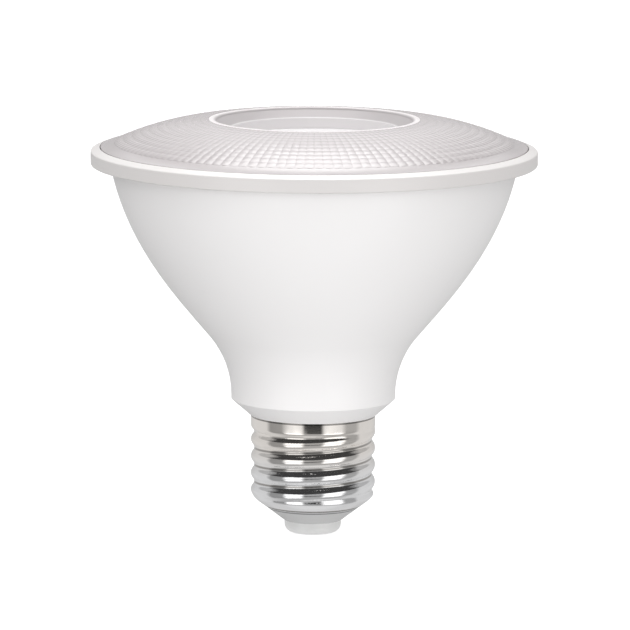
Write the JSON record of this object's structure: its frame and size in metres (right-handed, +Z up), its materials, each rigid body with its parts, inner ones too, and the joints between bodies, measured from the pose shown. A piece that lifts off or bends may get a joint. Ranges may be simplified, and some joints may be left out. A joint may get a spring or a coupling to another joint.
{
  "type": "par spotlight bulb",
  "caption": "Spotlight bulb with a clear patterned lens, a white bowl-shaped housing, a rim ring and a screw cap.",
  "frame": {"origin": "centre of the flat bottom of the centre contact", "axes": "+Z up the lamp's axis to the lens, -Y is the side that the picture shows"},
  "size_m": [0.094, 0.094, 0.0882],
  "materials": {
    "contact_metal": "satin",
    "cap_plastic": "satin",
    "nickel": "polished",
    "white_housing": "satin",
    "white_ring": "satin",
    "clear_lens": "gloss",
    "heat_sink_metal": "satin",
    "pad_rubber": "matte",
    "white_board": "satin",
    "phosphor": "matte",
    "screw_steel": "satin",
    "red_wire": "satin",
    "black_wire": "satin",
    "green_board": "satin",
    "ferrite": "matte",
    "coil_tape": "satin",
    "dark_sleeve": "satin",
    "yellow_case": "satin",
    "resistor_body": "satin",
    "varistor_blue": "satin",
    "black_chip": "matte",
    "tinned_wire": "satin"
  },
  "bodies": {
    "root": {"centre_contact": "contact_metal", "cap_insulator": "cap_plastic", "screw_shell": "nickel", "housing": "white_housing", "trim_ring": "white_ring", "front_lens": "clear_lens", "heat_sink": "heat_sink_metal", "thermal_pad": "pad_rubber", "led_board": "white_board", "led_emitter": "phosphor", "board_screws": "screw_steel", "positive_lead": "red_wire", "negative_lead": "black_wire", "driver_board": "green_board", "transformer_core": "ferrite", "transformer_winding": "coil_tape", "bulk_capacitor": "dark_sleeve", "output_capacitor": "dark_sleeve", "film_capacitor": "yellow_case", "fuse_resistor": "resistor_body", "filter_inductor": "ferrite", "varistor": "varistor_blue", "bridge_rectifier": "black_chip", "driver_chip": "black_chip", "output_diode": "black_chip", "live_lead": "tinned_wire", "neutral_lead": "tinned_wire"}
  },
  "joints": []
}
